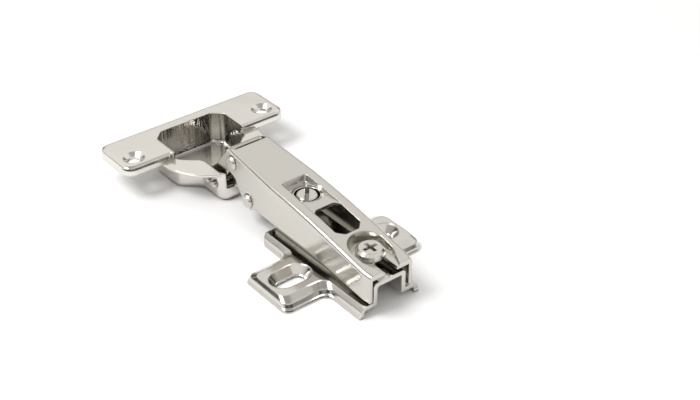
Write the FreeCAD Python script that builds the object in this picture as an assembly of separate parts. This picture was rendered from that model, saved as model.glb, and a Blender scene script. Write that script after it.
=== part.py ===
import FreeCAD, Part
import math
import os

# Concealed cup hinge with a slide-on arm, opened to a right angle. Millimetres.
# The origin lies on the underside of the mounting plate, midway between its two
# screw slots. +X runs from the plate toward the cup, +Z away from the cabinet
# side. At rest the plate and the cup's floor stand on the plane Z = 0.

V = FreeCAD.Vector
UP = V(0, 0, 1)
ACROSS = V(0, 1, 0)

# Clearances
PIN_PLAY = 0.06          # radial, a pin in the eye it turns in
THREAD_PLAY = 0.05       # radial, a screw in its threaded hole
SLIDE_PLAY = 0.30        # between pieces that slide or swing past each other
SEAT_GAP = 0.05          # between faces that sit on each other

# Mounting plate, one drawn sheet
PLATE_SHEET = 1.4
PLATE_REAR = -24.1
PLATE_FRONT = 21.3
FOOT_CORNER = 1.8
PLATE_RISE = 3.6         # top of the feet and wings above the base
SHOULDER_RISE = 2.4      # where the skirt's steep wall turns in toward the top
SHOULDER_SHARE = 0.35    # share of the skirt's slope that its wall takes up
FOOT_HALF_BASE = 10.6
FOOT_HALF_TOP = 9.0
WING_HALF_BASE = 10.2
WING_HALF_TOP = 6.8
WING_TIP_BASE = 24.8
WING_TIP_TOP = 23.6
NECK_RADIUS = 3.0
TIP_RADIUS = 2.4
CHANNEL_HALF = 5.7
CHANNEL_TOP = 9.8
CHANNEL_BEND = 1.3
SLOT_SPACING = 32.0
SLOT_LENGTH = 9.4        # over the round ends
SLOT_WIDTH = 4.6
SLOT_FLARE = 1.9         # how far the countersink opens round the slot
SLOT_DEPTH = 2.5

# Clamp screw, which fixes the arm on the plate
CLAMP_X = -15.6
CLAMP_SHANK_RADIUS = 2.0
CLAMP_HEAD_RADIUS = 4.15
CLAMP_HEAD_HEIGHT = 2.4
CLAMP_REACH = 3.0        # below the channel's sheet
SCREW_CROSS = 4.6        # length of each arm of the cross recess
SCREW_CROSS_WIDTH = 1.1
SCREW_CROSS_DEPTH = 1.5
SCREW_CROSS_TAPER = 0.55 # size of the recess at its bottom over that at its mouth

# Arm, a folded channel whose top falls toward the rear, more steeply behind its middle
ARM_SHEET = 1.1
ARM_REAR = -24.5
ARM_WEB_FRONT = 40.4
ARM_EAR_FRONT = 44.6
ARM_SHOULDER = 20.0      # where the walls begin to draw in toward the nose
ARM_PINCH = 3.0          # length of the narrowed rear end
ARM_HALF_REAR = 7.4
ARM_HALF_MIDDLE = 7.9
ARM_HALF_FRONT = 6.8
ARM_TOP_REAR = 13.2
ARM_TOP_FRONT = 21.5     # at the front of the web
ARM_APEX = 5.0           # where the top's slope eases
ARM_TOP_APEX = 18.2      # where the two slopes would meet
ARM_BLEND = 250.0        # radius between the two slopes
ARM_UNDER_REAR = 4.3
ARM_UNDER_FRONT = 7.1
ARM_KNEE = 0.0           # where the lower edge turns level
ARM_BEND = 1.2
ARM_TRAVEL_BACK = 1.0
WINDOW_REAR = -7.8
WINDOW_FRONT = 4.9
WINDOW_HALF = 4.4
WINDOW_CORNER_REAR = 2.0
WINDOW_CORNER_FRONT = 1.4
DISH_FLOOR = 12.6
DISH_HALF = 5.1
DISH_CENTRE = -14.6
DISH_FLARE = 1.0
DISH_MOUTH = 2.5
CLAMP_SLOT_HALF = 2.2
CLAMP_SLOT_END = -13.0
POCKET_FLOOR = 17.6
POCKET_REAR = 2.0
POCKET_FRONT = 18.7
POCKET_HALF_REAR = 4.6
POCKET_HALF_FRONT = 3.7
POCKET_FLARE = 0.9

# Side screw, which tilts the arm on the plate
SIDE_X = 12.9
SIDE_RADIUS = 3.25
SIDE_TOP = 17.7
SIDE_COLLAR = 4.1
SIDE_COLLAR_DEPTH = 3.0
SIDE_NECK_RADIUS = 1.9
SIDE_FOOT_RADIUS = 3.0
SIDE_FOOT_HEIGHT = 1.3
SIDE_SLOT_WIDTH = 1.2
SIDE_SLOT_DEPTH = 1.3
SIDE_SLOT_ANGLE = -39.0

# Linkage: four pivots in the plane Y = 0, as (X, Z)
ARM_PIVOT_FRONT = (40.4, 17.4)
ARM_PIVOT_REAR = (32.3, 8.2)
CUP_PIVOT_FAR = (53.6, 5.45)
CUP_PIVOT_NEAR = (49.95, 5.4)
RIVET_RADIUS = 1.5
RIVET_HEAD_RADIUS = 2.3
RIVET_HEAD_HEIGHT = 0.8
PIN_RADIUS = 1.2
PIN_PROUD = 1.2          # how far the cup's pins stand out of its walls
HOOK_PLAY = 0.75         # room of the far cup pin inside the outer link's hook
OUTER_LINK_HALF = 5.3
OUTER_EYE_RADIUS = 2.45
OUTER_LINK_SHEET = 1.0
INNER_LINK_HALF = 3.8
INNER_EYE_RADIUS = 2.15
REAR_EYE_RADIUS = 2.8
NECK_UPPER = 147.0       # the inner link leaves its cup pin between these two
NECK_LOWER = 174.0       # directions, in degrees from +X toward +Z
SPRING_SHEET = 0.6
SPRING_HALF = 2.2

# Cup, one drawn piece with its two wings
CUP_SHEET = 0.8
CUP_CENTRE = 63.2
CUP_BORE_RADIUS = 17.5
RIM_TOP = 9.9
WING_TOP = 12.0
WING_SKIRT = 2.9
WING_NEAR = 63.7
WING_FAR = 81.9
WING_HALF_LENGTH = 29.8
WING_CORNER = 3.6
WING_BEND = 1.3
WELL_FRONT = 46.0
WELL_FAR = 78.1
WELL_HALF = 13.5
THROAT_HALF = 7.4
WELL_FLOOR_BEND = 1.6
CUP_HOLE_X = 69.2
CUP_HOLE_SPACING = 48.0
CUP_HOLE_RADIUS = 1.9
CUP_HOLE_FLARE = 1.5
NOTCH_HALF = 5.6
NOTCH_FLOOR = 4.7
NOTCH_REACH = 2.2

BEYOND = 1.0             # how far a cutter runs past the face it opens
TINY = 0.01
ENDLESS = 200.0          # size of a block that reaches past the whole hinge


# ---- drawing helpers

def flat(z):
    """Place plan points (x, y) at height z."""
    return lambda point: V(point[0], point[1], z)


def upright(y):
    """Place side-view points (x, z) at the given y."""
    return lambda point: V(point[0], y, point[1])


def section(x):
    """Place cross-section points (y, z) at the given x."""
    return lambda point: V(x, point[0], point[1])


def rounded(points, radii, place):
    """A closed wire through the points, with each corner rounded by its radius."""
    corners = []
    count = len(points)
    for i, radius in enumerate(radii):
        here = V(*points[i], 0)
        back = V(*points[i - 1], 0) - here
        ahead = V(*points[(i + 1) % count], 0) - here
        if radius <= 0:
            corners.append([here])
            continue
        turn = back.getAngle(ahead)
        reach = radius / math.tan(turn / 2)
        back.normalize()
        ahead.normalize()
        bisector = (back + ahead).normalize()
        centre = here + bisector * (radius / math.sin(turn / 2))
        corners.append([here + back * reach, centre - bisector * radius, here + ahead * reach])
    edges = []
    for i, corner in enumerate(corners):
        spots = [place((spot.x, spot.y)) for spot in corner]
        if len(spots) == 3:
            edges.append(Part.Arc(*spots).toShape())
        after = corners[(i + 1) % count][0]
        start = spots[-1]
        end = place((after.x, after.y))
        if start.distanceToPoint(end) > TINY / 10:
            edges.append(Part.makeLine(start, end))
    return Part.Wire(edges)


def mirrored(points):
    """Add the mirror image, across the first axis, of half an outline."""
    return points + [(x, -y) for x, y in reversed(points)]


def prism(wire, direction):
    return Part.Face(wire).extrude(direction)


def plan_prism(points, radii, bottom, top):
    return prism(rounded(points, radii, flat(bottom)), UP * (top - bottom))


def side_prism(points, radii, half):
    """A side-view outline given the full width from -half to +half."""
    return prism(rounded(points, radii, upright(-half)), ACROSS * (2 * half))


def polar(centre, radius, degrees):
    """A side-view point at a distance and direction from a pivot."""
    angle = math.radians(degrees)
    return (centre[0] + radius * math.cos(angle), centre[1] + radius * math.sin(angle))


def loft(*wires):
    """Ruled solid through the wires, whose flat sides are true planes."""
    sides = []
    for side in Part.makeLoft(list(wires), True, True).Faces:
        spots = [corner.Point for corner in side.OuterWire.OrderedVertexes]
        if side.findPlane() is not None and len(spots) == 4:
            side = Part.Face(Part.makePolygon(spots + spots[:1]))
        sides.append(side)
    skin = Part.makeShell(sides)
    skin.sewShape()
    solid = Part.makeSolid(skin)
    if solid.Volume < 0:
        solid.reverse()
    return solid


def box(x0, x1, y0, y1, z0, z1):
    return Part.makeBox(x1 - x0, y1 - y0, z1 - z0, V(x0, y0, z0))


def cross_pin(pivot, radius, half):
    """A round bar across the hinge at a pivot (x, z)."""
    return Part.makeCylinder(radius, 2 * half, V(pivot[0], -half, pivot[1]), ACROSS)


def post(x, radius, bottom, top, y=0):
    return Part.makeCylinder(radius, top - bottom, V(x, y, bottom), UP)


def spun(x, y, profile):
    """Revolve a half profile (radius, z) about the upright axis at (x, y)."""
    wire = Part.makePolygon([V(x + r, y, z) for r, z in profile + profile[:1]])
    return Part.Face(wire).revolve(V(x, y, 0), UP, 360)


def stadium(length, width, grow, z, centre_y):
    """A slot outline along Y, grown on all sides, as a wire at height z."""
    half = width / 2 + grow
    end = length / 2 + grow
    points = [
        (-half, centre_y - end), (half, centre_y - end), (half, centre_y + end), (-half, centre_y + end)]
    return rounded(points, [half] * 4, flat(z))


# ---- mounting plate

def cruciform(z, foot_half, wing_half, wing_tip, rear, front, inset=0.0):
    """The plate's outline: two feet along X and two wings along Y."""
    foot = foot_half - inset
    wing = wing_half - inset
    tip = wing_tip - inset
    quarter = [(rear, foot), (-wing, foot), (-wing, tip), (wing, tip), (wing, foot), (front, foot)]
    neck = NECK_RADIUS + inset
    radii = [0, neck, TIP_RADIUS - inset / 2, TIP_RADIUS - inset / 2, neck, 0]
    return rounded(mirrored(quarter), radii + radii[::-1], flat(z))


def skirt(base, top, z):
    """Half width of the skirt at height z: a steep wall under a sloped shoulder."""
    if z < SHOULDER_RISE:
        share = SHOULDER_SHARE * z / SHOULDER_RISE
    else:
        share = SHOULDER_SHARE + (1 - SHOULDER_SHARE) * (z - SHOULDER_RISE) / (PLATE_RISE - SHOULDER_RISE)
    return base + (top - base) * share


def skirted(z, overrun=0.0, inset=0.0):
    """The plate's outline at height z, run past its ends and drawn in by an inset."""
    return cruciform(
        z,
        skirt(FOOT_HALF_BASE, FOOT_HALF_TOP, z),
        skirt(WING_HALF_BASE, WING_HALF_TOP, z),
        skirt(WING_TIP_BASE, WING_TIP_TOP, z),
        PLATE_REAR - overrun, PLATE_FRONT + overrun, inset)


def foot_corner(side):
    """Cutter that rounds one front corner of the foot."""
    start = FOOT_HALF_BASE - FOOT_CORNER
    front = PLATE_FRONT - FOOT_CORNER
    near, far = sorted((side * start, side * (FOOT_HALF_BASE + BEYOND)))
    block = box(front, PLATE_FRONT + BEYOND, near, far, -BEYOND, PLATE_RISE + BEYOND)
    return block.cut(post(front, FOOT_CORNER, -2 * BEYOND, PLATE_RISE + 2 * BEYOND, side * start))


def plate_slab():
    outer = loft(skirted(0), skirted(SHOULDER_RISE), skirted(PLATE_RISE))
    under = loft(
        skirted(-TINY, BEYOND, PLATE_SHEET), skirted(PLATE_RISE - PLATE_SHEET, BEYOND, PLATE_SHEET))
    return outer, under


def channel(half, top, bend, rear, front):
    """The raised middle of the plate, as a solid bar of its outline."""
    points = [(-half, 0), (half, 0), (half, top), (-half, top)]
    return prism(rounded(points, [0, 0, bend, bend], section(rear)), V(front - rear, 0, 0))


def slot_dish(side):
    """The rim pressed round one screw slot, and the cutter that opens it."""
    y = side * SLOT_SPACING / 2
    floor = PLATE_RISE - SLOT_DEPTH
    rim = prism(stadium(SLOT_LENGTH, SLOT_WIDTH, SLOT_FLARE + PLATE_SHEET / 2, floor - PLATE_SHEET / 2, y),
                UP * (SLOT_DEPTH + PLATE_SHEET / 2 - TINY))
    flare = loft(
        stadium(SLOT_LENGTH, SLOT_WIDTH, 0, floor, y),
        stadium(SLOT_LENGTH, SLOT_WIDTH, SLOT_FLARE, PLATE_RISE, y))
    through = Part.Face(stadium(SLOT_LENGTH, SLOT_WIDTH, 0, -BEYOND, y)).extrude(UP * (PLATE_RISE + BEYOND))
    return rim, flare.fuse(through)


def mounting_plate():
    slab, under = plate_slab()
    inner_half = CHANNEL_HALF - PLATE_SHEET
    inner_top = CHANNEL_TOP - PLATE_SHEET
    hollow = channel(inner_half, inner_top, CHANNEL_BEND / 2, PLATE_REAR - BEYOND, PLATE_FRONT + BEYOND)
    boss = post(CLAMP_X, CLAMP_SHANK_RADIUS + PLATE_SHEET, inner_top - PLATE_SHEET, inner_top + TINY)
    body = slab.fuse(channel(CHANNEL_HALF, CHANNEL_TOP, CHANNEL_BEND, PLATE_REAR, PLATE_FRONT))
    body = body.cut(under).cut(hollow).fuse(boss)
    for side in (-1, 1):
        rim, opening = slot_dish(side)
        body = body.fuse(rim).cut(opening)
    body = body.cut(post(
        CLAMP_X, CLAMP_SHANK_RADIUS + THREAD_PLAY, inner_top - 2 * PLATE_SHEET, CHANNEL_TOP + BEYOND))
    neck_half = SIDE_NECK_RADIUS + SLIDE_PLAY
    neck_rear = SIDE_X - SIDE_NECK_RADIUS - 2 * SLIDE_PLAY - ARM_TRAVEL_BACK
    groove = plan_prism(
        [(neck_rear, -neck_half), (PLATE_FRONT + BEYOND, -neck_half),
         (PLATE_FRONT + BEYOND, neck_half), (neck_rear, neck_half)],
        [neck_half, 0, 0, neck_half], inner_top - BEYOND, CHANNEL_TOP + BEYOND)
    for side in (-1, 1):
        body = body.cut(foot_corner(side))
    return body.cut(groove).removeSplitter()


# ---- screws

def cross_recess(x, top):
    """Cutter for a cross recess that narrows as it goes down."""
    cutter = None
    for long_x, long_y in ((SCREW_CROSS, SCREW_CROSS_WIDTH), (SCREW_CROSS_WIDTH, SCREW_CROSS)):
        wires = []
        for z, share in ((top - SCREW_CROSS_DEPTH, SCREW_CROSS_TAPER), (top + TINY, 1.0)):
            a = long_x / 2 * share
            b = long_y / 2 * share
            wires.append(rounded([(x - a, -b), (x + a, -b), (x + a, b), (x - a, b)], [0] * 4, flat(z)))
        bar = loft(*wires)
        cutter = bar if cutter is None else cutter.fuse(bar)
    return cutter


def clamp_screw():
    seat = DISH_FLOOR + SEAT_GAP
    top = seat + CLAMP_HEAD_HEIGHT
    tip = CHANNEL_TOP - PLATE_SHEET - CLAMP_REACH
    edge = CLAMP_HEAD_HEIGHT * 0.35
    head = spun(CLAMP_X, 0, [
        (0, tip), (CLAMP_SHANK_RADIUS - 0.5, tip), (CLAMP_SHANK_RADIUS, tip + 0.5),
        (CLAMP_SHANK_RADIUS, seat), (CLAMP_HEAD_RADIUS, seat), (CLAMP_HEAD_RADIUS, top - edge),
        (CLAMP_HEAD_RADIUS - edge, top), (0, top)])
    return head.cut(cross_recess(CLAMP_X, top))


def side_screw():
    inner_top = CHANNEL_TOP - PLATE_SHEET
    foot_top = inner_top - SLIDE_PLAY
    thread_end = POCKET_FLOOR - ARM_SHEET - SIDE_COLLAR_DEPTH
    body = spun(SIDE_X, 0, [
        (0, foot_top - SIDE_FOOT_HEIGHT), (SIDE_FOOT_RADIUS, foot_top - SIDE_FOOT_HEIGHT),
        (SIDE_FOOT_RADIUS, foot_top), (SIDE_NECK_RADIUS, foot_top), (SIDE_NECK_RADIUS, thread_end - 1.0),
        (SIDE_RADIUS - THREAD_PLAY, thread_end), (SIDE_RADIUS - THREAD_PLAY, SIDE_TOP - 0.4),
        (SIDE_RADIUS - THREAD_PLAY - 0.4, SIDE_TOP), (0, SIDE_TOP)])
    slot = Part.makeBox(2 * SIDE_RADIUS + 2, SIDE_SLOT_WIDTH, SIDE_SLOT_DEPTH + BEYOND,
                        V(-SIDE_RADIUS - 1, -SIDE_SLOT_WIDTH / 2, SIDE_TOP - SIDE_SLOT_DEPTH))
    slot.rotate(V(0, 0, 0), UP, SIDE_SLOT_ANGLE)
    slot.translate(V(SIDE_X, 0, 0))
    return body.cut(slot)


# ---- arm

def arm_top(x):
    """Height of the arm's top: two slopes joined by a wide arc."""
    rear_slope = (ARM_TOP_APEX - ARM_TOP_REAR) / (ARM_APEX - ARM_REAR)
    front_slope = (ARM_TOP_FRONT - ARM_TOP_APEX) / (ARM_WEB_FRONT - ARM_APEX)
    bend = rear_slope - front_slope
    reach = ARM_BLEND * bend / 2
    short = max(0.0, reach - abs(x - ARM_APEX))
    slope = rear_slope if x < ARM_APEX else front_slope
    return ARM_TOP_APEX + slope * (x - ARM_APEX) - bend * short ** 2 / (4 * reach)


def arm_half(x):
    """Outer half width of the arm from its shoulder to its nose."""
    share = max(0.0, (x - ARM_SHOULDER) / (ARM_EAR_FRONT - ARM_SHOULDER))
    return ARM_HALF_MIDDLE + (ARM_HALF_FRONT - ARM_HALF_MIDDLE) * share


def arm_bar(sheet, margin):
    """The folded channel as a solid bar, drawn in by the sheet's thickness."""
    rear = ARM_REAR - margin
    front = ARM_EAR_FRONT + margin
    half = [(rear, ARM_HALF_REAR - sheet), (ARM_REAR + ARM_PINCH, ARM_HALF_MIDDLE - sheet),
            (ARM_SHOULDER, ARM_HALF_MIDDLE - sheet), (front, arm_half(front) - sheet)]
    radii = [0, 8.0, 0, 0]
    plan = plan_prism(mirrored(half), radii + radii[::-1], 0, ARM_TOP_FRONT + 2 * BEYOND)
    side = [(rear, arm_top(rear) - sheet), (ARM_APEX, ARM_TOP_APEX - sheet), (front, arm_top(front) - sheet),
            (front, 0), (rear, 0)]
    return side_prism(side, [0, ARM_BLEND, 0, 0, 0], ARM_HALF_MIDDLE + BEYOND).common(plan)


def arm_skin():
    """The solid bar with its two long top edges turned by the bend."""
    bar = arm_bar(0, 0)
    bends = []
    for edge in bar.Edges:
        extent = edge.BoundBox
        if extent.ZMin > ARM_TOP_REAR - ARM_BEND and extent.XLength > extent.YLength:
            bends.append(edge)
    return bar.makeFillet(ARM_BEND, bends)


def arm_outline():
    """Side view of the channel: rising underside, nose dropped round the pivots."""
    front_x, front_z = ARM_PIVOT_FRONT
    rear_x, rear_z = ARM_PIVOT_REAR
    points = [
        (ARM_REAR, ARM_UNDER_REAR), (ARM_KNEE, ARM_UNDER_FRONT), (rear_x - 3.5, ARM_UNDER_FRONT),
        (rear_x - 1.0, rear_z - 2.9), (rear_x + 2.6, rear_z - 1.6), (front_x - 2.6, front_z - 7.2),
        (front_x - 1.2, front_z - 4.7), (ARM_EAR_FRONT - 0.8, front_z - 3.4), (ARM_EAR_FRONT, front_z + 1.2),
        (ARM_EAR_FRONT - 1.4, front_z + 3.2), (ARM_WEB_FRONT, arm_top(ARM_WEB_FRONT) + 0.3),
        (ARM_WEB_FRONT, arm_top(ARM_WEB_FRONT) + 3), (ARM_REAR, arm_top(ARM_REAR) + 6)]
    return side_prism(points, [0, 30, 2, 1.5, 1.5, 2, 1.2, 2.2, 1.8, 0, 0, 0, 0], ARM_HALF_MIDDLE + BEYOND)


def window_cutter():
    rear = WINDOW_CORNER_REAR
    front = WINDOW_CORNER_FRONT
    half = [(WINDOW_REAR, WINDOW_HALF - rear), (WINDOW_REAR + rear, WINDOW_HALF),
            (WINDOW_FRONT - front, WINDOW_HALF), (WINDOW_FRONT, WINDOW_HALF - front)]
    return plan_prism(mirrored(half), [0.8] * 8, CHANNEL_TOP, arm_top(WINDOW_FRONT) + BEYOND)


def dish_wire(z, grow):
    """Pear-shaped dish round the clamp screw, open at the arm's rear end."""
    half = DISH_HALF + grow
    front = DISH_CENTRE + DISH_HALF + grow
    side = [(ARM_REAR - BEYOND, DISH_MOUTH + grow), (CLAMP_X - 3.2, half), (front, half)]
    radii = [0, 2.0, half]
    return rounded(mirrored(side), radii + radii[::-1], flat(z))


def arm_dish():
    """The dished seat of the clamp screw: added sheet, and the cutter above it."""
    front = DISH_CENTRE + DISH_HALF + ARM_SHEET
    lip = arm_top(front)
    wide = ARM_HALF_MIDDLE
    tub = plan_prism([(ARM_REAR, -wide), (front, -wide), (front, wide), (ARM_REAR, wide)],
                     [0, 4.0, 4.0, 0], DISH_FLOOR - ARM_SHEET, lip - ARM_SHEET / 2)
    cavity = loft(dish_wire(DISH_FLOOR, 0), dish_wire(lip + BEYOND, DISH_FLARE))
    slot = plan_prism(
        [(ARM_REAR - BEYOND, -CLAMP_SLOT_HALF), (CLAMP_SLOT_END + CLAMP_SLOT_HALF, -CLAMP_SLOT_HALF),
         (CLAMP_SLOT_END + CLAMP_SLOT_HALF, CLAMP_SLOT_HALF), (ARM_REAR - BEYOND, CLAMP_SLOT_HALF)],
        [0, CLAMP_SLOT_HALF, CLAMP_SLOT_HALF, 0], CHANNEL_TOP, DISH_FLOOR + BEYOND)
    return tub, cavity, slot


def pocket_wire(z, grow):
    front = POCKET_FRONT + grow
    half = [(POCKET_REAR, POCKET_HALF_REAR + grow), (front, POCKET_HALF_FRONT + grow)]
    return rounded(mirrored(half), [0, 1.0, 1.0, 0], flat(z))


def arm_pocket():
    """The level seat of the side screw, sunk into the sloping top."""
    brim = arm_top(POCKET_FRONT) + ARM_SHEET / 2
    under = POCKET_FLOOR - ARM_SHEET
    end = POCKET_FRONT + ARM_SHEET + POCKET_FLARE
    buried = ARM_SHEET / 2
    tub = side_prism(
        [(WINDOW_FRONT, under), (POCKET_FRONT + 0.3, under), (end, arm_top(end) - buried),
         (WINDOW_FRONT, arm_top(WINDOW_FRONT) - buried)], [0, 1.0, 0, 0], POCKET_HALF_REAR + ARM_SHEET)
    return tub, loft(pocket_wire(POCKET_FLOOR, 0), pocket_wire(brim, POCKET_FLARE))


def side_screw_collar():
    """A threaded collar drawn down from the pocket's floor, and its bore."""
    bottom = POCKET_FLOOR - ARM_SHEET - SIDE_COLLAR_DEPTH
    ring = post(SIDE_X, SIDE_COLLAR, bottom, POCKET_FLOOR - TINY)
    mouth = SIDE_COLLAR - 0.1
    bore = spun(SIDE_X, 0, [
        (0, bottom - BEYOND), (SIDE_RADIUS, bottom - BEYOND), (SIDE_RADIUS, POCKET_FLOOR - 0.9),
        (SIDE_RADIUS + 0.35, POCKET_FLOOR - 0.35), (mouth, POCKET_FLOOR + TINY),
        (mouth, POCKET_FLOOR + BEYOND), (0, POCKET_FLOOR + BEYOND)])
    return ring, bore


def arm():
    outer = arm_skin()
    inner = arm_bar(ARM_SHEET, BEYOND)
    tub, cavity, slot = arm_dish()
    pocket, sunk = arm_pocket()
    ring, bore = side_screw_collar()
    body = outer.cut(inner).fuse(tub.common(outer)).fuse(pocket.common(outer)).fuse(ring)
    body = body.cut(cavity).cut(slot).cut(sunk).cut(bore).cut(window_cutter())
    body = body.common(arm_outline())
    nose_half = ARM_HALF_FRONT - ARM_SHEET
    body = body.cut(box(
        ARM_WEB_FRONT, ARM_EAR_FRONT + BEYOND, -nose_half, nose_half, 0, ARM_TOP_FRONT + BEYOND))
    for pivot in (ARM_PIVOT_FRONT, ARM_PIVOT_REAR):
        body = body.cut(cross_pin(pivot, RIVET_RADIUS + SEAT_GAP, ARM_HALF_MIDDLE + BEYOND))
    return body.removeSplitter()


def arm_rivet(pivot):
    """A rivet through both walls of the arm, with a domed head each side."""
    x, z = pivot
    reach = max(arm_half(x - RIVET_HEAD_RADIUS), arm_half(x + RIVET_HEAD_RADIUS)) + SEAT_GAP
    proud = reach + RIVET_HEAD_HEIGHT
    wire = Part.makePolygon([
        V(x, 0, z), V(x + RIVET_RADIUS, 0, z), V(x + RIVET_RADIUS, reach, z),
        V(x + RIVET_HEAD_RADIUS, reach, z), V(x + RIVET_HEAD_RADIUS * 0.75, proud, z),
        V(x, proud, z), V(x, 0, z)])
    half = Part.Face(wire).revolve(V(x, 0, z), ACROSS, 360)
    return half.fuse(half.mirror(V(0, 0, 0), ACROSS)).removeSplitter()


# ---- links

def two_cheeks(outline, half, sheet):
    """Keep only the two side cheeks of a full-width side prism."""
    return outline.cut(box(-ENDLESS, ENDLESS, sheet - half, half - sheet, -ENDLESS, ENDLESS))


def outer_link():
    """Bowed web with two cheeks: eyes on the front rivet, hooks over the far cup pin."""
    ax, az = ARM_PIVOT_FRONT
    cx, cz = CUP_PIVOT_FAR
    eye = OUTER_EYE_RADIUS
    sheet = OUTER_LINK_SHEET
    inside = PIN_RADIUS + HOOK_PLAY
    outside = inside + sheet
    skin = [
        (ax + 1.6, az + 3.4), (ax + 3.4, az + 3.3), (ax + 5.2, az + 1.4),
        (cx - 2.0, cz + 5.6), (cx + outside, cz + 1.4), (cx + outside, cz - 0.9)]
    cheek = skin + [
        (cx + inside, cz - 0.9), (cx + inside, cz + inside + 0.1), (cx - inside, cz + inside + 0.1),
        (cx - 6.0, cz + inside + 0.2), (ax + 2.2, az - eye), (ax - eye, az - eye), (ax - eye, az + eye),
        (ax + 1.0, az + eye)]
    radii = [0.4, 1.4, 2.6, 2.6, 1.8, 0.3, 0.3, 1.3, 0, 1.5, 1.6, eye, eye, 0.3]
    cheeks = two_cheeks(side_prism(cheek, radii, OUTER_LINK_HALF), OUTER_LINK_HALF, sheet)
    back = skin[:5] + [
        (cx + outside - sheet, cz + 1.4), (cx - 2.2, cz + 4.4), (ax + 4.5, az + 0.9),
        (ax + 2.9, az + 2.3), (ax + 1.6, az + 2.4)]
    web = side_prism(back, [0.0, 1.4, 2.6, 2.6, 0, 0, 1.8, 1.6, 0.6, 0], OUTER_LINK_HALF)
    body = cheeks.fuse(web)
    return body.cut(
        cross_pin(ARM_PIVOT_FRONT, RIVET_RADIUS + PIN_PLAY, OUTER_LINK_HALF + BEYOND)).removeSplitter()


def inner_link():
    """Arched strap with rolled eyes on the rear rivet and the near cup pin."""
    ax, az = ARM_PIVOT_REAR
    cx, cz = CUP_PIVOT_NEAR
    sweep = math.dist(CUP_PIVOT_FAR, CUP_PIVOT_NEAR) + PIN_RADIUS + SLIDE_PLAY
    high = polar(CUP_PIVOT_NEAR, sweep, NECK_UPPER)
    low = polar(CUP_PIVOT_NEAR, sweep, NECK_LOWER)
    strap = [
        (ax, az + REAR_EYE_RADIUS), (high[0] - 2.5, high[1] + 0.9), high,
        polar(CUP_PIVOT_NEAR, 1.5, NECK_UPPER), polar(CUP_PIVOT_NEAR, 1.5, NECK_LOWER),
        low, (low[0] - 3.0, low[1]), (ax + 1.0, az - REAR_EYE_RADIUS + 0.5)]
    bar = side_prism(strap, [0, 2.5, 0.8, 0, 0, 1.5, 2.5, 0], INNER_LINK_HALF)
    body = bar.fuse(cross_pin(ARM_PIVOT_REAR, REAR_EYE_RADIUS, INNER_LINK_HALF))
    body = body.fuse(cross_pin(CUP_PIVOT_NEAR, INNER_EYE_RADIUS, INNER_LINK_HALF))
    gap = SPRING_HALF + SLIDE_PLAY
    room = REAR_EYE_RADIUS + 1.6
    body = body.cut(box(ax - room, ax + room, -gap, gap, az - room, az + 2 * room))
    body = body.cut(cross_pin(ARM_PIVOT_REAR, RIVET_RADIUS + PIN_PLAY, INNER_LINK_HALF + BEYOND))
    return body.cut(
        cross_pin(CUP_PIVOT_NEAR, PIN_RADIUS + PIN_PLAY, INNER_LINK_HALF + BEYOND)).removeSplitter()


def closing_spring():
    """Leaf rolled round the rear rivet, bearing up under the arm's web."""
    ax, az = ARM_PIVOT_REAR
    bore = RIVET_RADIUS + SEAT_GAP
    roll = cross_pin(ARM_PIVOT_REAR, bore + SPRING_SHEET, SPRING_HALF)
    ceiling = -ARM_SHEET - SLIDE_PLAY
    rear = ax - 9.0
    front = ax + 1.5
    sheet = SPRING_SHEET
    leaf = [
        (ax - 1.0, az - bore - sheet), (ax - 5.5, az + 1.0), (rear - 0.5, arm_top(rear) + ceiling - 2.2),
        (rear + 0.6, arm_top(rear + 0.6) + ceiling), (front, arm_top(front) + ceiling),
        (front, arm_top(front) + ceiling - sheet), (rear + 1.4, arm_top(rear + 1.4) + ceiling - sheet),
        (rear + 0.4, arm_top(rear) + ceiling - 2.3), (ax - 5.0, az + 1.5), (ax - 1.2, az - bore)]
    strip = side_prism(leaf, [0, 1.5, 1.4, 0.9, 0, 0, 0.4, 0.9, 1.0, 0], SPRING_HALF)
    body = roll.fuse(strip)
    return body.cut(cross_pin(ARM_PIVOT_REAR, bore, SPRING_HALF + BEYOND)).removeSplitter()


# ---- cup

def well_wire(z, inset):
    """Keyhole outline of the well: a narrow throat that widens behind it."""
    front = WELL_FRONT + inset
    far = WELL_FAR - inset
    wide = WELL_HALF - inset
    throat = THROAT_HALF - inset
    spread = wide - throat
    swell = WELL_FRONT + 11.0 + inset * 0.4
    half = [(front, throat), (swell, throat), (swell + spread * 0.89, wide),
            (far - 3.3, wide), (far, wide - 3.4)]
    corner = 3.2 - inset
    radii = [corner, 3.5, 3.5, 1.6, 1.6]
    return rounded(mirrored(half), radii + radii[::-1], flat(z))


def well_bar(inset, bottom, top, bend):
    """The well as a solid bar, its floor edge turned by a bend."""
    shallow = loft(well_wire(bottom, inset + bend), well_wire(bottom + bend * 0.3, inset + bend * 0.3),
                   well_wire(bottom + bend, inset))
    return shallow.fuse(prism(well_wire(bottom + bend, inset), UP * (top - bottom - bend)))


def wing_tray(inset, bottom, top, bend):
    """The wings' tray, edges turned down, drawn in by the inset."""
    near = WING_NEAR + inset
    far = WING_FAR - inset
    half = WING_HALF_LENGTH - inset
    radius = WING_CORNER - inset
    points = [(near, -half), (far, -half), (far, half), (near, half)]
    wall = plan_prism(points, [radius] * 4, bottom, top - bend)
    if bend <= 0:
        return wall
    drawn = [
        (near + bend, bend - half), (far - bend, bend - half),
        (far - bend, half - bend), (near + bend, half - bend)]
    soft = bend * 0.3
    middle = [
        (near + soft, soft - half), (far - soft, soft - half),
        (far - soft, half - soft), (near + soft, half - soft)]
    crown = loft(rounded(points, [radius] * 4, flat(top - bend)),
                 rounded(middle, [radius - soft] * 4, flat(top - soft)),
                 rounded(drawn, [radius - bend] * 4, flat(top)))
    return wall.fuse(crown)


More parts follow.
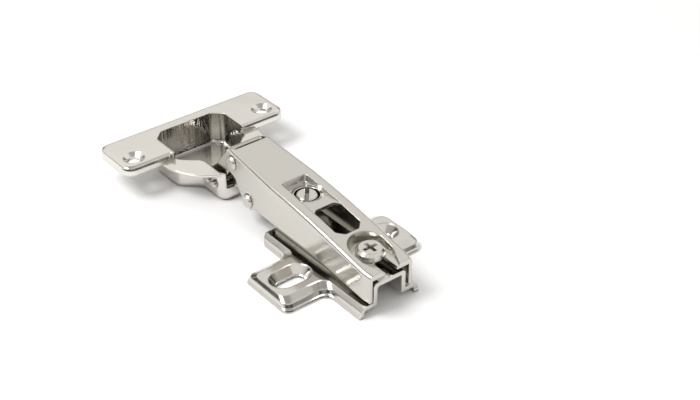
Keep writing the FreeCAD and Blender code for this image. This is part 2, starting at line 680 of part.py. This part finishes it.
def screw_dish(side):
    """A conical dish for a countersunk screw: its metal and its cutter."""
    y = side * CUP_HOLE_SPACING / 2
    drop = CUP_HOLE_FLARE
    hole = CUP_HOLE_RADIUS
    wide = hole + drop
    sheet = CUP_SHEET
    under = WING_TOP - sheet - drop * 0.75
    metal = post(CUP_HOLE_X, wide + sheet / 2, under, WING_TOP - TINY, y)
    cutter = spun(CUP_HOLE_X, y, [
        (0, under - BEYOND), (hole, under - BEYOND), (hole, under + sheet),
        (wide, WING_TOP), (wide, WING_TOP + BEYOND),
        (0, WING_TOP + BEYOND)])
    return metal, cutter


def cup():
    tray = wing_tray(0, WING_TOP - WING_SKIRT, WING_TOP, WING_BEND)
    tray_room = wing_tray(CUP_SHEET, WING_TOP - WING_SKIRT - BEYOND, WING_TOP - CUP_SHEET, 0)
    rim = post(CUP_CENTRE, CUP_BORE_RADIUS, RIM_TOP - CUP_SHEET, RIM_TOP)
    rim = rim.common(box(-ENDLESS, WING_NEAR + CUP_SHEET, -ENDLESS, ENDLESS, 0, ENDLESS))
    low_well = well_bar(0, 0, RIM_TOP, WELL_FLOOR_BEND)
    high_well = prism(well_wire(RIM_TOP - 1, 0), UP * (WING_TOP - TINY - RIM_TOP + 1))
    high_well = high_well.common(box(WING_NEAR, ENDLESS, -ENDLESS, ENDLESS, 0, ENDLESS))
    body = tray.cut(tray_room).fuse(rim).fuse(low_well).fuse(high_well)
    body = body.cut(well_bar(CUP_SHEET, CUP_SHEET, WING_TOP + BEYOND, WELL_FLOOR_BEND - CUP_SHEET / 2))
    for side in (-1, 1):
        metal, cutter = screw_dish(side)
        body = body.fuse(metal).cut(cutter)
    body = body.cut(box(WELL_FRONT - BEYOND, WELL_FRONT + NOTCH_REACH, -NOTCH_HALF, NOTCH_HALF,
                        NOTCH_FLOOR, RIM_TOP + BEYOND))
    for pivot in (CUP_PIVOT_FAR, CUP_PIVOT_NEAR):
        body = body.cut(cross_pin(pivot, PIN_RADIUS + SEAT_GAP, THROAT_HALF + BEYOND))
    return body.removeSplitter()


def cup_pin(pivot):
    """One cup pin, its ends standing a little out of the throat's walls."""
    half = THROAT_HALF + PIN_PROUD
    pin = cross_pin(pivot, PIN_RADIUS, half)
    ends = [edge for edge in pin.Edges if edge.Curve.TypeId == "Part::GeomCircle"]
    return pin.makeChamfer(PIN_RADIUS * 0.3, ends)


PIECES = {
    "mounting_plate": mounting_plate,
    "clamp_screw": clamp_screw,
    "side_screw": side_screw,
    "arm": arm,
    "front_rivet": lambda: arm_rivet(ARM_PIVOT_FRONT),
    "rear_rivet": lambda: arm_rivet(ARM_PIVOT_REAR),
    "closing_spring": closing_spring,
    "outer_link": outer_link,
    "inner_link": inner_link,
    "cup": cup,
    "far_cup_pin": lambda: cup_pin(CUP_PIVOT_FAR),
    "near_cup_pin": lambda: cup_pin(CUP_PIVOT_NEAR),
}

os.makedirs("parts", exist_ok=True)
for name, make in PIECES.items():
    shape = make()
    bounds = shape.BoundBox
    print("%-16s solids %d  volume %8.1f  valid %s  box %.2f %.2f %.2f  %.2f %.2f %.2f" % (
        name, len(shape.Solids), shape.Volume, shape.isValid(),
        bounds.XMin, bounds.YMin, bounds.ZMin, bounds.XMax, bounds.YMax, bounds.ZMax))
    shape.exportStep("parts/%s.step" % name)
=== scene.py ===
# %% [markdown]
# # A concealed cup hinge in nickel-plated steel
# Every solid of this hinge is already modelled, so this script only dresses it:
# it loads the frame, gives each piece its plating, and sets a floor, a camera and
# soft light round it. Lengths are in metres.

# %% Load the frame
import math

import bpy
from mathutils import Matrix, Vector


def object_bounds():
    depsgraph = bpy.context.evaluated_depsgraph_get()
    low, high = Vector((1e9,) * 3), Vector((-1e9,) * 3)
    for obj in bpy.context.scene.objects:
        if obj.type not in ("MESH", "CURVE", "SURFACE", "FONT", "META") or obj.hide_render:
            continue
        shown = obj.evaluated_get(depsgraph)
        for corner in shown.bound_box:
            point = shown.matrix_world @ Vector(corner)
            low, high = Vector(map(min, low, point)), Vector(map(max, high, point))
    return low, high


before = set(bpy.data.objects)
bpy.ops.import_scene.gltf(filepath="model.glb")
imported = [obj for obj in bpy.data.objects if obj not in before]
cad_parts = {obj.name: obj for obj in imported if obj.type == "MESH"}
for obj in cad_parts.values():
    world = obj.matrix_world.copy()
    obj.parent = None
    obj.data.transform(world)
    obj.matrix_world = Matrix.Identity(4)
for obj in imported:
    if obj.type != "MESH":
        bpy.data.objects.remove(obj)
cad_box = [list(corner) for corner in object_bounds()]
MM = 0.001
BROAD_WAVES = (90, 90, 90)             # waves per metre of the sheet's slow ripple
GRAIN_WAVES = (2500, 2500, 2500)       # of its fine grain
STREAK_WAVES = (450, 450, 18)          # of the punch marks, stretched upright
BROAD_DEPTH, GRAIN_DEPTH, STREAK_DEPTH = 0.4, 0.03, 0.35    # millimetres
STEEP = 0.6             # a wall is steep where its normal rises less than this
FACING_SLACK = 0.5      # millimetres by which a wall may face outward and count as inside
CUP_AXIS_X = 63.2       # millimetres from the plate's middle
SIDE_SCREW_X = 12.9
CUP_INNER_RADIUS = 16.6
print("pieces:", sorted(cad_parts))

# %% [markdown]
# ## The plating
# Bright nickel is a metal with a faint warm tint. A Principled shader with metallic
# at 1 does that by itself: the base colour is the tint and the roughness says how
# sharp the mirror image is. Pressed sheet is never perfectly flat, so a broad, weak
# bump makes reflections wander a little, and a fine one breaks up the highlights.
# A press also leaves no sharp corner. The Bevel node rounds the shading of every
# edge by a small radius, which draws the thin bright and dark lines of bent sheet.
# Shade is painted into narrow gaps: the tint falls off where the Ambient Occlusion
# node finds walls within a reach.
# The cup is a deep drawn hollow. Its painted shade reaches further inside, where little
# light gets in, and the punch that drew it left upright streaks on its walls. A mask keeps both
# off the flange and the outside: it takes what is near the cup's axis and doesn't
# face away from it.
#
# Two small pressed forms are bumps here and not solids: the flared lip round the
# foot of the plate, and the rolled bead round the side screw.

# %% A plating material
def bumped(material, normal, waves, strength, depth):
    """Add one layer of noise to a normal; waves are counted per metre on each axis."""
    nodes, links = material.node_tree.nodes, material.node_tree.links
    place = nodes.new("ShaderNodeTexCoord")
    scaled = nodes.new("ShaderNodeMapping")
    scaled.inputs["Scale"].default_value = waves
    links.new(place.outputs["Object"], scaled.inputs["Vector"])
    noise = nodes.new("ShaderNodeTexNoise")
    noise.inputs["Scale"].default_value = 1.0
    links.new(scaled.outputs["Vector"], noise.inputs["Vector"])
    bump = nodes.new("ShaderNodeBump")
    bump.inputs["Strength"].default_value = strength
    bump.inputs["Distance"].default_value = depth * MM
    links.new(noise.outputs["Fac"], bump.inputs["Height"])
    links.new(normal, bump.inputs["Normal"])
    return bump


def away_from_axis(material, axis_x):
    """Give the flat arrow from an upright axis to the surface, and its length."""
    nodes, links = material.node_tree.nodes, material.node_tree.links
    place = nodes.new("ShaderNodeTexCoord")
    flat = nodes.new("ShaderNodeMapping")
    flat.inputs["Location"].default_value = (-axis_x * MM, 0, 0)
    flat.inputs["Scale"].default_value = (1, 1, 0)
    links.new(place.outputs["Object"], flat.inputs["Vector"])
    length = nodes.new("ShaderNodeVectorMath")
    length.operation = "LENGTH"
    links.new(flat.outputs["Vector"], length.inputs[0])
    return flat.outputs["Vector"], length.outputs["Value"]


def combined(material, operation, first, second):
    """Join a value with a number or with another value by one Math node."""
    nodes, links = material.node_tree.nodes, material.node_tree.links
    sums = nodes.new("ShaderNodeMath")
    sums.operation = operation
    links.new(first, sums.inputs[0])
    if isinstance(second, float):
        sums.inputs[1].default_value = second
    else:
        links.new(second, sums.inputs[1])
    return sums.outputs["Value"]


def shape_last(material, height, step):
    """Raise the surface by one more bump, after all the bumps it already has."""
    nodes, links = material.node_tree.nodes, material.node_tree.links
    shader = nodes["Principled BSDF"]
    bump = nodes.new("ShaderNodeBump")
    bump.inputs["Strength"].default_value = 1.0
    bump.inputs["Distance"].default_value = step * MM
    links.new(height, bump.inputs["Height"])
    links.new(shader.inputs["Normal"].links[0].from_socket, bump.inputs["Normal"])
    links.new(bump.outputs["Normal"], shader.inputs["Normal"])


def plating(name, tint, roughness, corner, reach, nook_shade=0.12, wander=0.2, grain=0.1):
    """Nickel over pressed steel, with shade painted into narrow gaps. Corner and reach are in
    millimetres.
    """
    material = bpy.data.materials.new(name)
    material.use_nodes = True
    nodes, links = material.node_tree.nodes, material.node_tree.links
    shader = nodes["Principled BSDF"]
    shader.inputs["Metallic"].default_value = 1.0
    shader.inputs["Roughness"].default_value = roughness
    # Painted shade: the base colour darkens towards a small share of the tint where the Ambient
    # Occlusion node finds walls within the reach.
    nook = nodes.new("ShaderNodeAmbientOcclusion")
    nook.name = "nook"
    nook.samples = 8
    nook.inputs["Distance"].default_value = reach * MM
    fall = nodes.new("ShaderNodeValToRGB")
    shaded_stop, unshaded_stop = fall.color_ramp.elements
    shaded_stop.position, shaded_stop.color = 0.25, (*[channel * nook_shade for channel in tint], 1)
    unshaded_stop.position, unshaded_stop.color = 0.85, (*tint, 1)
    links.new(nook.outputs["AO"], fall.inputs["Fac"])
    links.new(fall.outputs["Color"], shader.inputs["Base Color"])
    bevel = nodes.new("ShaderNodeBevel")
    bevel.samples = 6
    bevel.inputs["Radius"].default_value = corner * MM
    wavy = bumped(material, bevel.outputs["Normal"], BROAD_WAVES, wander, BROAD_DEPTH)
    grainy = bumped(material, wavy.outputs["Normal"], GRAIN_WAVES, grain, GRAIN_DEPTH)
    links.new(grainy.outputs["Normal"], shader.inputs["Normal"])
    return material


# %% The marks that pressing leaves on single pieces, and the deeper painted shade inside the cup
def draw_deep(material, axis_x, radius, near, deep):
    """Paint deeper shade inside the drawn cup by a longer reach, and bump streaks on its steep walls.
    """
    nodes, links = material.node_tree.nodes, material.node_tree.links
    shader = nodes["Principled BSDF"]
    arrow, distance = away_from_axis(material, axis_x)
    facing = nodes.new("ShaderNodeTexCoord").outputs["Normal"]
    outward = nodes.new("ShaderNodeVectorMath")
    outward.operation = "DOT_PRODUCT"
    links.new(arrow, outward.inputs[0])
    links.new(facing, outward.inputs[1])
    close = combined(material, "LESS_THAN", distance, radius * MM)
    inward = combined(material, "LESS_THAN", outward.outputs["Value"], FACING_SLACK * MM)
    inside = combined(material, "MULTIPLY", close, inward)
    # Painted shade: inside the cup the Ambient Occlusion reach runs up to deep, so the tint darkens
    # over a longer reach there.
    reach = nodes.new("ShaderNodeMapRange")
    reach.inputs["To Min"].default_value = near * MM
    reach.inputs["To Max"].default_value = deep * MM
    links.new(inside, reach.inputs["Value"])
    links.new(reach.outputs["Result"], nodes["nook"].inputs["Distance"])

    parts = nodes.new("ShaderNodeSeparateXYZ")
    links.new(facing, parts.inputs["Vector"])
    tilt = nodes.new("ShaderNodeMath")
    tilt.operation = "ABSOLUTE"
    links.new(parts.outputs["Z"], tilt.inputs[0])
    steep = combined(material, "LESS_THAN", tilt.outputs["Value"], STEEP)
    walls = combined(material, "MULTIPLY", inside, steep)
    before = shader.inputs["Normal"].links[0].from_socket
    drawn = bumped(material, before, STREAK_WAVES, 1.0, STREAK_DEPTH)
    links.new(walls, drawn.inputs["Strength"])
    links.new(drawn.outputs["Normal"], shader.inputs["Normal"])


def press_lip(material, lip_foot, lip_head, step):
    """Draw the small flared step round the foot of the plate's skirt."""
    nodes, links = material.node_tree.nodes, material.node_tree.links
    place = nodes.new("ShaderNodeTexCoord")
    up = nodes.new("ShaderNodeSeparateXYZ")
    links.new(place.outputs["Object"], up.inputs["Vector"])
    slope = nodes.new("ShaderNodeMapRange")
    slope.interpolation_type = "SMOOTHSTEP"
    slope.inputs["From Min"].default_value = lip_foot * MM
    slope.inputs["From Max"].default_value = lip_head * MM
    slope.inputs["To Min"].default_value = 1.0
    slope.inputs["To Max"].default_value = 0.0
    links.new(up.outputs["Z"], slope.inputs["Value"])
    shape_last(material, slope.outputs["Result"], step)


def roll_collar(material, axis_x, inner, outer, height):
    """Round the rolled bead of the arm's collar round the side screw."""
    nodes, links = material.node_tree.nodes, material.node_tree.links
    distance = away_from_axis(material, axis_x)[1]
    across = nodes.new("ShaderNodeMapRange")
    across.inputs["From Min"].default_value = inner * MM
    across.inputs["From Max"].default_value = outer * MM
    links.new(distance, across.inputs["Value"])
    bead = nodes.new("ShaderNodeValToRGB")
    bead.color_ramp.interpolation = "EASE"
    rise, fall = bead.color_ramp.elements
    rise.color, fall.color = (0, 0, 0, 1), (0, 0, 0, 1)
    bead.color_ramp.elements.new(0.5).color = (1, 1, 1, 1)
    links.new(across.outputs["Result"], bead.inputs["Fac"])
    shape_last(material, bead.outputs["Color"], height)


# %% Give each piece its plating
NICKEL = (0.63, 0.61, 0.57)
# The last plain number in each call is the reach of the painted shade in gaps, in millimetres; where a
# call sets how dark that painted shade gets, it does so by keyword.
FINISHES = {
    "plate": plating("plate_nickel", (0.64, 0.62, 0.58), 0.13, 0.6, 1.2, wander=0.4),
    "arm": plating("arm_nickel", (0.61, 0.59, 0.55), 0.20, 0.45, 0.5, grain=0.2),
    "cup": plating("cup_nickel", (0.75, 0.725, 0.68), 0.14, 0.6, 1.2, nook_shade=0.2, wander=0.3),
    "link": plating("link_nickel", (0.60, 0.58, 0.53), 0.18, 0.3, 1.5, wander=0.3),
    "clamp": plating("clamp_nickel", NICKEL, 0.12, 0.3, 1.0, nook_shade=0.35, wander=0.4, grain=1.0),
    "side": plating("side_nickel", NICKEL, 0.12, 0.3, 2.0, nook_shade=0.06),
    "pin": plating("pin_nickel", NICKEL, 0.12, 0.2, 0.6),
    "spring": plating("spring_steel", (0.30, 0.29, 0.27), 0.30, 0.1, 0.6, grain=0.2),
}
# near and deep are the reaches of the painted shade outside and inside the cup.
draw_deep(FINISHES["cup"], CUP_AXIS_X, CUP_INNER_RADIUS, near=1.2, deep=15.0)
press_lip(FINISHES["plate"], lip_foot=0.7, lip_head=1.3, step=0.5)
roll_collar(FINISHES["arm"], SIDE_SCREW_X, inner=3.1, outer=4.7, height=0.9)
WEARS = {
    "mounting_plate": "plate", "arm": "arm", "cup": "cup", "outer_link": "link", "inner_link": "link",
    "clamp_screw": "clamp", "side_screw": "side", "front_rivet": "arm", "rear_rivet": "arm",
    "closing_spring": "spring", "far_cup_pin": "pin", "near_cup_pin": "pin",
}
for node, finish in WEARS.items():
    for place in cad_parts[node].material_slots:
        place.material = FINISHES[finish]
    print(node, "wears", finish)

# %% [markdown]
# ## Floor and light
# Bright metal shows the room round it, so the room matters more than the lamps. A
# pale floor fills the lower half of every reflection. The world is pale at the
# horizon and again higher up, with a dark band between them and a duller ceiling:
# where a bend sweeps its mirror image across the band it shows the thin dark line
# that makes polished sheet look like metal. One soft lamp stands to the left.

# %% Floor
bpy.ops.mesh.primitive_plane_add(size=6.0, location=(0, 0, 0))
floor = bpy.context.object
floor.name = "floor"
paper = bpy.data.materials.new("white_paper")
paper.use_nodes = True
paper.node_tree.nodes["Principled BSDF"].inputs["Base Color"].default_value = (0.95, 0.95, 0.95, 1)
paper.node_tree.nodes["Principled BSDF"].inputs["Roughness"].default_value = 0.9
paper.node_tree.nodes["Principled BSDF"].inputs["Specular IOR Level"].default_value = 0.0
floor.data.materials.append(paper)

# %% World
world = bpy.data.worlds.new("studio")
bpy.context.scene.world = world
world.use_nodes = True
nodes, links = world.node_tree.nodes, world.node_tree.links
nodes.clear()
direction = nodes.new("ShaderNodeTexCoord")
split = nodes.new("ShaderNodeSeparateXYZ")
links.new(direction.outputs["Generated"], split.inputs["Vector"])
ramp = nodes.new("ShaderNodeValToRGB")
links.new(split.outputs["Z"], ramp.inputs["Fac"])
BANDS = (
    (0.0, 0.80), (0.10, 0.60), (0.16, 0.03), (0.27, 0.05), (0.37, 0.70), (0.53, 1.0),
    (0.82, 1.0), (0.92, 0.50), (1.0, 0.45),
)
for index, (height, grey) in enumerate(BANDS):
    stop = ramp.color_ramp.elements[index] if index < 2 else ramp.color_ramp.elements.new(height)
    stop.position, stop.color = height, (grey, grey * 0.99, grey * 0.97, 1)
surround = nodes.new("ShaderNodeBackground")
surround.inputs["Strength"].default_value = 1.0
links.new(ramp.outputs["Color"], surround.inputs["Color"])
out = nodes.new("ShaderNodeOutputWorld")
links.new(surround.outputs["Background"], out.inputs["Surface"])

# %% Lamps
def lamp(name, toward, distance, size, watts):
    """A square soft lamp that faces the hinge from a direction."""
    data = bpy.data.lights.new(name, "AREA")
    data.shape = "SQUARE"
    data.size = size
    data.energy = watts
    made = bpy.data.objects.new(name, data)
    bpy.context.collection.objects.link(made)
    middle = (Vector(cad_box[0]) + Vector(cad_box[1])) / 2
    away = Vector(toward).normalized()
    made.location = middle + away * distance
    made.rotation_euler = away.to_track_quat("Z", "Y").to_euler()
    return made


lamp("key", (3.0, 7.2, 12.0), 0.8, 0.35, 3.8)

# %% [markdown]
# ## Camera
# A long lens from high on the left rear corner, looking down the arm to the cup.

# %% Camera
CAMERA_PLACE = Vector((-235.85, 184.14, 222.8)) * MM
HEADING, TILT = math.radians(-38.79), math.radians(-33.83)
camera = bpy.data.objects.new("camera", bpy.data.cameras.new("camera"))
bpy.context.collection.objects.link(camera)
camera.data.sensor_width = 36.0
camera.data.lens = 66.82
camera.location = CAMERA_PLACE
ahead = Vector((math.cos(HEADING) * math.cos(TILT), math.sin(HEADING) * math.cos(TILT), math.sin(TILT)))
camera.rotation_euler = ahead.to_track_quat("-Z", "Y").to_euler()
camera.data.clip_start, camera.data.clip_end = 0.01, 20.0
bpy.context.scene.camera = camera
bpy.context.scene.view_settings.view_transform = "Standard"
